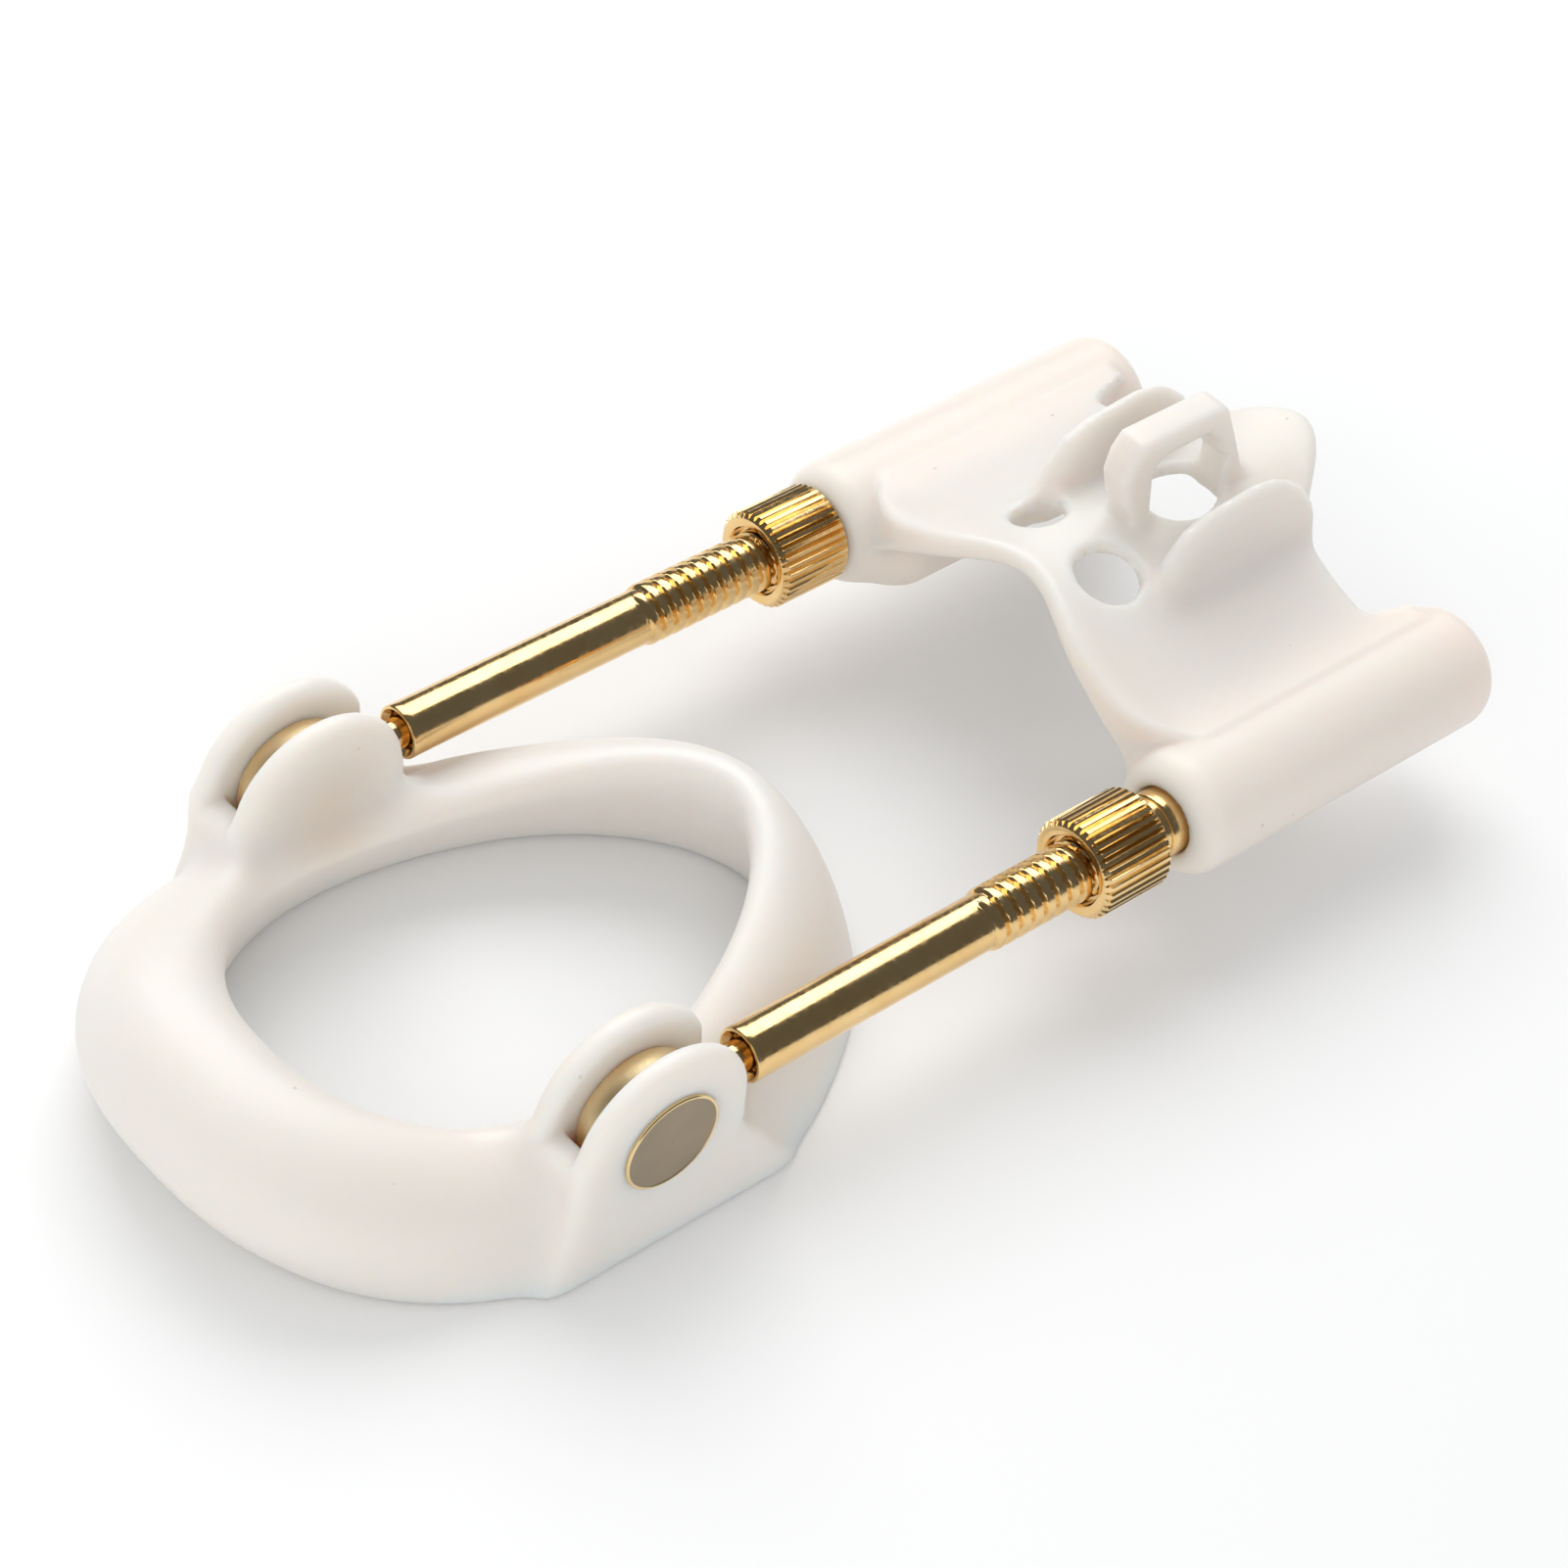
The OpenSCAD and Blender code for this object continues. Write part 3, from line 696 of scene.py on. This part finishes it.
for side, sign in SIDES.items():
    low, high = box_mm(side + "_thrust_collar")
    start, end, collar_r = low[1], high[1], high[2]
    groove_r = collar_r - COLLAR_GROOVE
    profile = bead(start, start + 1.15, collar_r - 0.12, 0.3)
    profile += [(start + 1.2, groove_r), (start + 1.75, groove_r)]
    profile += bead(start + 1.8, end, collar_r, 0.42)
    profile += [(end, COLLAR_BORE), (start, COLLAR_BORE)]
    collar = turned(side + "_push_collar", profile, 80, at=(sign * ROD_X, 0, 0))
    finish_piece(collar, side + "_thrust_collar", side + "_collar")

# %% Bushes and shafts
BUSH_R, BUSH_BORE = 2.19, 1.76
SHAFT_R, SHAFT_HEAD_R = 1.7, 2.15
SHAFT_HEAD = 3

for side, sign in SIDES.items():
    low, high = box_mm(side + "_guide_bush")
    profile = [(low[1] + 0.25, BUSH_BORE), (low[1], 2.0), (low[1], 2.1), (low[1] + 0.1, BUSH_R),
               (high[1], BUSH_R), (high[1], BUSH_BORE)]
    bush = turned(side + "_mouth_bush", profile, 48, at=(sign * ROD_X, 0, 0))
    finish_piece(bush, side + "_guide_bush", side + "_tube")
    low, high = box_mm(side + "_guide_shaft")
    head = high[1] - SHAFT_HEAD
    profile = [(low[1], 0.05), (low[1], SHAFT_R - 0.2), (low[1] + 0.2, SHAFT_R), (head, SHAFT_R),
               (head, SHAFT_HEAD_R - 0.1), (head + 0.1, SHAFT_HEAD_R),
               (high[1] - 0.2, SHAFT_HEAD_R), (high[1], SHAFT_HEAD_R - 0.2), (high[1], 0.05)]
    shaft = turned(side + "_plunger_shaft", profile, 48, at=(sign * ROD_X, 0, 0))
    finish_piece(shaft, side + "_guide_shaft", side + "_arm")

# %% [markdown]
# ## Pins and knuckles
#
# The pin's head lies flush in the outer ear. Its face is slightly dished and rougher, and
# its colour is painted dark, a painted reflection of the dim surroundings it faces; the
# gold bevel round it keeps the plate's own colour. A stored value, 1 on the bevel and 0 on
# the face, tells the material which is which. The knuckle is a disc with a crowned rim.

# %% Hinge pins
PIN_HEAD_R = 5.75
PIN_R = 2.5
PIN_RIM = 0.3


def pin_profile(outer, inner, sign):
    """Distances along X from the head's face, outer, to the shank's end, inner."""
    face = outer + sign * 0.06
    head = [(face - sign * 0.16, 0.05), (face - sign * 0.15, 2.5), (face - sign * 0.12, 4.6),
            (face - sign * 0.08, PIN_HEAD_R - 0.36), (face, PIN_HEAD_R - 0.26),
            (face - sign * 0.01, PIN_HEAD_R - 0.1), (face - sign * 0.1, PIN_HEAD_R)]
    shank = [(face - sign * 0.8, PIN_HEAD_R), (face - sign * 0.8, PIN_R), (inner, PIN_R),
             (inner, 0.05)]
    return head + shank


for side, sign in SIDES.items():
    low, high = box_mm(side + "_hinge_pin")
    outer, inner = (high[0], low[0]) if sign > 0 else (low[0], high[0])
    profile = pin_profile(sign * RING_W, inner, sign)
    pin = turned(side + "_flush_pin", profile if sign > 0 else profile[::-1], 96, axis="x")
    local = np.array([v.co for v in pin.data.vertices]) / MM - HINGE
    # The rim keeps the gold's own colour; the face inside it gets a painted dark reflection
    rim = np.hypot(local[:, 1], local[:, 2]) > PIN_HEAD_R - PIN_RIM
    mark = pin.data.attributes.new("rim_gold_face_painted_dark", "FLOAT", "POINT")
    mark.data.foreach_set("value", rim.astype(np.float32))
    finish_piece(pin, side + "_hinge_pin", "ring")

# %% Knuckles
KNUCKLE_BORE = 2.56
KNUCKLE_CROWN = 0.7
CROWN_STEPS = 6

for side, sign in SIDES.items():
    low, high = box_mm(side + "_hinge_knuckle")
    half, r = (high[0] - low[0]) / 2, high[2]
    turns = [math.pi / 2 * k / CROWN_STEPS for k in range(-CROWN_STEPS, CROWN_STEPS + 1)]
    crown = [(half * math.sin(t), r - KNUCKLE_CROWN * (1 - math.cos(t))) for t in turns]
    profile = [(-half, KNUCKLE_BORE)] + crown + [(half, KNUCKLE_BORE)]
    disc = turned(side + "_knuckle_disc", profile, 96, axis="x", at=(sign * ROD_X, 0, 0))
    finish_piece(disc, side + "_hinge_knuckle", side + "_arm")

# %% [markdown]
# ## Shared effects
#
# Moulded plastic and plated metal both need small irregularities. Three node groups make
# them: a slow drift of tone, fine specks, and a fine grain that also feeds the bump.
# Each is built once, and each material places it with its own scale and strength.

# %% A small kit for node groups
def new_group(name, inputs, outputs):
    group = bpy.data.node_groups.new(name, "ShaderNodeTree")
    for socket, value in inputs.items():
        made = group.interface.new_socket(socket, in_out="INPUT", socket_type="NodeSocketFloat")
        made.default_value = value
    for socket in outputs:
        group.interface.new_socket(socket, in_out="OUTPUT", socket_type="NodeSocketFloat")
    start = group.nodes.new("NodeGroupInput")
    end = group.nodes.new("NodeGroupOutput")
    return group, start, end


def add(tree, kind, **settings):
    node = tree.nodes.new(kind)
    for key, value in settings.items():
        setattr(node, key, value)
    return node


def noise(tree, coordinates, detail=3.0):
    node = add(tree, "ShaderNodeTexNoise")
    node.inputs["Detail"].default_value = detail
    tree.links.new(coordinates.outputs["Object"], node.inputs["Vector"])
    return node


def map_range(tree, source, low, high, to_low=0.0, to_high=1.0):
    node = add(tree, "ShaderNodeMapRange")
    node.inputs["From Min"].default_value = low
    node.inputs["From Max"].default_value = high
    node.inputs["To Min"].default_value = to_low
    node.inputs["To Max"].default_value = to_high
    tree.links.new(source, node.inputs["Value"])
    return node.outputs["Result"]


# %% Tone drift
def make_drift():
    group, start, end = new_group("tone_drift", {"Scale": 60.0}, ["Drift"])
    coordinates = add(group, "ShaderNodeTexCoord")
    wave = noise(group, coordinates, 2.0)
    group.links.new(start.outputs["Scale"], wave.inputs["Scale"])
    group.links.new(map_range(group, wave.outputs["Fac"], 0.3, 0.7), end.inputs["Drift"])
    return group


drift_group = make_drift()
print("made", drift_group.name)

# %% Specks
# Each cell has a random red value, and only those above this get a speck
RARE_ABOVE = 0.72


def make_specks():
    group, start, end = new_group("fine_specks", {"Scale": 300.0, "Size": 0.06}, ["Specks"])
    coordinates = add(group, "ShaderNodeTexCoord")
    cells = add(group, "ShaderNodeTexVoronoi")
    group.links.new(coordinates.outputs["Object"], cells.inputs["Vector"])
    group.links.new(start.outputs["Scale"], cells.inputs["Scale"])
    near = add(group, "ShaderNodeMath", operation="LESS_THAN")
    group.links.new(cells.outputs["Distance"], near.inputs[0])
    group.links.new(start.outputs["Size"], near.inputs[1])
    rare = add(group, "ShaderNodeMath", operation="GREATER_THAN")
    colour = add(group, "ShaderNodeSeparateColor")
    group.links.new(cells.outputs["Color"], colour.inputs["Color"])
    group.links.new(colour.outputs["Red"], rare.inputs[0])
    rare.inputs[1].default_value = RARE_ABOVE
    both = add(group, "ShaderNodeMath", operation="MULTIPLY")
    group.links.new(near.outputs[0], both.inputs[0])
    group.links.new(rare.outputs[0], both.inputs[1])
    group.links.new(both.outputs[0], end.inputs["Specks"])
    return group


specks_group = make_specks()
print("made", specks_group.name)

# %% Grain
def make_grain():
    group, start, end = new_group("fine_grain", {"Scale": 900.0}, ["Grain"])
    coordinates = add(group, "ShaderNodeTexCoord")
    fine = noise(group, coordinates, 4.0)
    group.links.new(start.outputs["Scale"], fine.inputs["Scale"])
    group.links.new(fine.outputs["Fac"], end.inputs["Grain"])
    return group


grain_group = make_grain()
print("made", grain_group.name, "and now there are", len(bpy.data.node_groups))

# %% [markdown]
# ## Materials
#
# A material starts from a Principled shader. Values that are the same all over are set
# on its sockets, and only what changes over the surface comes through links.

# %% Helpers for materials
# How far a bump stands out at most, in metres
BUMP_HEIGHT = 0.00002


def new_material(name, **sockets):
    material = bpy.data.materials.new(name)
    material.use_nodes = True
    shader = material.node_tree.nodes["Principled BSDF"]
    for socket, value in sockets.items():
        shader.inputs[socket.replace("_", " ")].default_value = value
    return material, material.node_tree, shader


def place(tree, group, **values):
    node = add(tree, "ShaderNodeGroup", node_tree=group)
    for socket, value in values.items():
        node.inputs[socket].default_value = value
    return node


def mix_colour(tree, factor, first, second):
    node = add(tree, "ShaderNodeMix", data_type="RGBA")
    tree.links.new(factor, node.inputs["Factor"])
    for socket, value in (("A", first), ("B", second)):
        target = [s for s in node.inputs if s.name == socket and s.type == "RGBA"][0]
        if isinstance(value, tuple):
            target.default_value = value
        else:
            tree.links.new(value, target)
    return [s for s in node.outputs if s.type == "RGBA"][0]


def bump(tree, shader, height, strength):
    node = add(tree, "ShaderNodeBump")
    node.inputs["Strength"].default_value = strength
    node.inputs["Distance"].default_value = BUMP_HEIGHT
    tree.links.new(height, node.inputs["Height"])
    tree.links.new(node.outputs["Normal"], shader.inputs["Normal"])


# %% [markdown]
# ### Milky moulded plastic
#
# The ring and cradle are a soft, slightly clear plastic. Light goes in and comes out
# nearby, which takes the hardness from shadows. The colour is mixed by the thickness
# that was stored on the mesh: thick plastic keeps its own warm tint, and thin plastic is
# painted greyer and cooler, a painted stand-in for light passing through it. Round a
# knuckle a warm painted glow stands in for the gold's light seen through the plastic.

# %% Plastic
def milky_plastic(name, thin, thick, speck):
    material, tree, shader = new_material(name, Subsurface_Weight=0.75, Subsurface_Scale=0.005,
                                          Specular_IOR_Level=0.45)
    shader.inputs["Subsurface Radius"].default_value = (1.0, 0.66, 0.46)
    # Thin plastic is painted greyer and cooler, a painted translucency where light passes through;
    # thick plastic keeps its own warm tint
    depth = add(tree, "ShaderNodeAttribute", attribute_name="thickness")
    body = mix_colour(tree, map_range(tree, depth.outputs["Fac"], 0.15, 0.75), thin, thick)
    drift = place(tree, drift_group, Scale=45.0)
    warm = tuple(c * f for c, f in zip(thick[:3], (1.0, 0.97, 0.93))) + (1.0,)
    toned = mix_colour(tree, map_range(tree, drift.outputs["Drift"], 0, 1, 0.0, 0.25), body, warm)
    # Painted glow: a warm brown mixed in round each knuckle, for gold light seen through and
    # bounced into the plastic
    painted_glow_source = add(tree, "ShaderNodeAttribute", attribute_name="painted_knuckle_glow")
    painted_glow_layer = map_range(tree, painted_glow_source.outputs["Fac"], 0.2, 1.0, 0.0, 0.55)
    toned = mix_colour(tree, painted_glow_layer, toned, (0.74, 0.58, 0.45, 1))
    specks = place(tree, specks_group, Scale=230.0, Size=0.05)
    amount = map_range(tree, specks.outputs["Specks"], 0, 1, 0.0, 0.35)
    tree.links.new(mix_colour(tree, amount, toned, speck), shader.inputs["Base Color"])
    grain = place(tree, grain_group, Scale=1400.0)
    rough = map_range(tree, grain.outputs["Grain"], 0.3, 0.7, 0.34, 0.44)
    tree.links.new(rough, shader.inputs["Roughness"])
    bump(tree, shader, grain.outputs["Grain"], 0.05)
    return material


ring_plastic = milky_plastic("milky_ring_plastic", (0.77, 0.765, 0.745, 1), (0.80, 0.765, 0.72, 1),
                             (0.45, 0.38, 0.32, 1))
cradle_plastic = milky_plastic("milky_cradle_plastic", (0.72, 0.72, 0.70, 1),
                               (0.82, 0.75, 0.69, 1), (0.35, 0.28, 0.22, 1))
base_ring.data.materials.append(ring_plastic)
cradle.data.materials.append(cradle_plastic)
print("plastics:", ring_plastic.name, cradle_plastic.name)

# %% [markdown]
# ### Plated gold
#
# Gold plate on turned brass is a clean mirror with a faint mottle, since plating
# follows every tool mark. The mottle comes from a shallow bump and from a roughness that
# wanders. The knuckle has the same plate over a bead-blasted disc, so it is satin.

# %% Gold
def gold(name, colour, rough_low, rough_high, bump_strength, grain_scale):
    material, tree, shader = new_material(name, Metallic=1.0)
    drift = place(tree, drift_group, Scale=220.0)
    grain = place(tree, grain_group, Scale=grain_scale)
    deeper = (colour[0] * 0.90, colour[1] * 0.80, colour[2] * 0.62, 1)
    amount = map_range(tree, drift.outputs["Drift"], 0, 1, 0.0, 0.6)
    tree.links.new(mix_colour(tree, amount, colour, deeper), shader.inputs["Base Color"])
    rough = map_range(tree, grain.outputs["Grain"], 0.3, 0.7, rough_low, rough_high)
    tree.links.new(rough, shader.inputs["Roughness"])
    bump(tree, shader, grain.outputs["Grain"], bump_strength)
    return material


polished_gold = gold("polished_gold_plate", (0.93, 0.67, 0.33, 1), 0.09, 0.26, 0.3, 1500.0)
satin_gold = gold("satin_gold_plate", (0.95, 0.80, 0.52, 1), 0.42, 0.58, 0.3, 3500.0)
spring_wire = gold("drawn_spring_wire", (0.55, 0.55, 0.57, 1), 0.2, 0.35, 0.1, 3000.0)
print("metals:", polished_gold.name, satin_gold.name, spring_wire.name)

# %% Pin heads: a face painted dark inside a gold bevel
def pin_metal():
    material, tree, shader = new_material("pin_head_metal", Metallic=1.0)
    edge = add(tree, "ShaderNodeAttribute", attribute_name="rim_gold_face_painted_dark")
    drift = place(tree, drift_group, Scale=160.0)
    amount = map_range(tree, drift.outputs["Drift"], 0, 1, 0.0, 1.0)
    # The face's dark brown is a painted reflection of the dim surroundings, not a different metal
    painted_dark_face = mix_colour(tree, amount, (0.42, 0.34, 0.24, 1), (0.36, 0.30, 0.22, 1))
    colour = mix_colour(tree, edge.outputs["Fac"], painted_dark_face, (0.93, 0.72, 0.38, 1))
    tree.links.new(colour, shader.inputs["Base Color"])
    rough = map_range(tree, edge.outputs["Fac"], 0, 1, 0.5, 0.2)
    tree.links.new(rough, shader.inputs["Roughness"])
    grain = place(tree, grain_group, Scale=2500.0)
    bump(tree, shader, grain.outputs["Grain"], 0.15)
    return material


pin_head = pin_metal()
print("and", pin_head.name)

# %% Give every metal piece its material
FINISH = {"rod_tube": polished_gold, "finger_nut": polished_gold, "push_collar": polished_gold,
          "mouth_bush": polished_gold, "plunger_shaft": polished_gold, "flush_pin": pin_head,
          "knuckle_disc": satin_gold}
for side in SIDES:
    for piece, material in FINISH.items():
        bpy.data.objects[side + "_" + piece].data.materials.append(material)
    for node, material in (("return_spring", spring_wire), ("end_plug", polished_gold)):
        held = frame["nodes"][side + "_" + node]
        held.data.materials.clear()
        held.data.materials.append(material)
print(len(bpy.data.materials), "materials in all")

# %% [markdown]
# ## The studio
#
# Gold shows what surrounds it. A large soft light overhead and behind gives each rod a
# bright upper band, the pale floor gives a bright lower band, and the unlit camera side
# of the studio gives the dark band between them. Two weak fills that metal doesn't
# mirror keep the plastic open on the camera side.
#
# The surroundings are not the same for every ray. They are dim for metal to mirror,
# brighter for the plastic and the floor, and plain pale where the camera sees them.

# %% Floor
FLOOR_SIZE = 8.0
FLOOR_Z = -0.00005


def make_floor():
    bpy.ops.mesh.primitive_plane_add(size=FLOOR_SIZE, location=(0, 0, FLOOR_Z))
    floor = bpy.context.object
    floor.name = "studio_floor"
    material, tree, shader = new_material("pale_floor", Roughness=0.75)
    drift = place(tree, drift_group, Scale=3.0)
    cool, warm = (0.86, 0.86, 0.86, 1), (0.88, 0.88, 0.875, 1)
    colour = mix_colour(tree, drift.outputs["Drift"], cool, warm)
    tree.links.new(colour, shader.inputs["Base Color"])
    floor.data.materials.append(material)
    print(floor.name, "is", FLOOR_SIZE, "m square")


make_floor()

# %% Lights
def soft_light(name, place_mm, aim_mm, size_mm, power, mirrored=True):
    data = bpy.data.lights.new(name, "AREA")
    data.shape = "RECTANGLE"
    data.size, data.size_y = size_mm[0] * MM, size_mm[1] * MM
    data.energy = power
    light = bpy.data.objects.new(name, data)
    light.location = Vector(place_mm) * MM
    direction = Vector(aim_mm) - Vector(place_mm)
    light.rotation_euler = direction.to_track_quat("-Z", "Y").to_euler()
    light.visible_glossy = mirrored
    bpy.context.scene.collection.objects.link(light)
    print(name, "gives", power, "W", "to all" if mirrored else "but isn't mirrored")


soft_light("overhead_back", (-420, 260, 620), (0, 0, 10), (700, 700), 3.9)
soft_light("camera_fill", (420, -520, 420), (0, 0, 10), (500, 500), 1.5, mirrored=False)
soft_light("front_fill", (-300, -600, 300), (0, 0, 10), (400, 400), 0.5, mirrored=False)

# %% Surroundings
DIM_LIGHT = 0.12
DIFFUSE_LIGHT = 0.66
CAMERA_LIGHT = 1.0


def make_world():
    world = bpy.data.worlds.new("studio_world")
    bpy.context.scene.world = world
    world.use_nodes = True
    tree = world.node_tree
    rays = add(tree, "ShaderNodeLightPath")
    result = tree.nodes["Background"]
    result.inputs["Color"].default_value = (0.9, 0.93, 1.0, 1)
    result.inputs["Strength"].default_value = DIM_LIGHT
    for kind, strength in (("Is Diffuse Ray", DIFFUSE_LIGHT), ("Is Camera Ray", CAMERA_LIGHT)):
        pale = add(tree, "ShaderNodeBackground")
        pale.inputs["Color"].default_value = (0.96, 0.97, 0.98, 1)
        pale.inputs["Strength"].default_value = strength
        choose = add(tree, "ShaderNodeMixShader")
        tree.links.new(rays.outputs[kind], choose.inputs["Fac"])
        tree.links.new(result.outputs[0], choose.inputs[1])
        tree.links.new(pale.outputs[0], choose.inputs[2])
        result = choose
    tree.links.new(result.outputs[0], tree.nodes["World Output"].inputs["Surface"])
    print(world.name, "has", len(tree.nodes), "nodes")


make_world()
bpy.context.scene.view_settings.view_transform = "Standard"

# %% [markdown]
# ## The camera
#
# A long lens from above and to the right, rolled a little. Its place is given by where
# it looks, its direction and its distance, so each can be changed alone.

# %% Camera
CAMERA_AZIMUTH = 42.153
CAMERA_ELEVATION = 43.565
CAMERA_ROLL = 9.861
CAMERA_DISTANCE = 374.47
CAMERA_LOOKS_AT = np.array([56.449, -19.602, 78.645])
CAMERA_LENS = 107.476


def make_camera():
    az, el, roll = (math.radians(a) for a in (CAMERA_AZIMUTH, CAMERA_ELEVATION, CAMERA_ROLL))
    back = Vector((math.sin(az) * math.cos(el), -math.cos(az) * math.cos(el), math.sin(el)))
    level = Vector((0, 0, 1)).cross(back).normalized()
    upright = back.cross(level)
    right = level * math.cos(roll) + upright * math.sin(roll)
    up = upright * math.cos(roll) - level * math.sin(roll)
    data = bpy.data.cameras.new("camera")
    data.lens, data.sensor_width = CAMERA_LENS, 36.0
    data.clip_start, data.clip_end = 0.01, 50.0
    camera = bpy.data.objects.new("camera", data)
    turn = Matrix((right, up, back)).transposed().to_4x4()
    spot = (Vector(CAMERA_LOOKS_AT + HINGE) + back * CAMERA_DISTANCE) * MM
    camera.matrix_world = Matrix.Translation(spot) @ turn
    bpy.context.scene.collection.objects.link(camera)
    bpy.context.scene.camera = camera
    print(camera.name, "stands at", [round(v, 3) for v in spot])


make_camera()
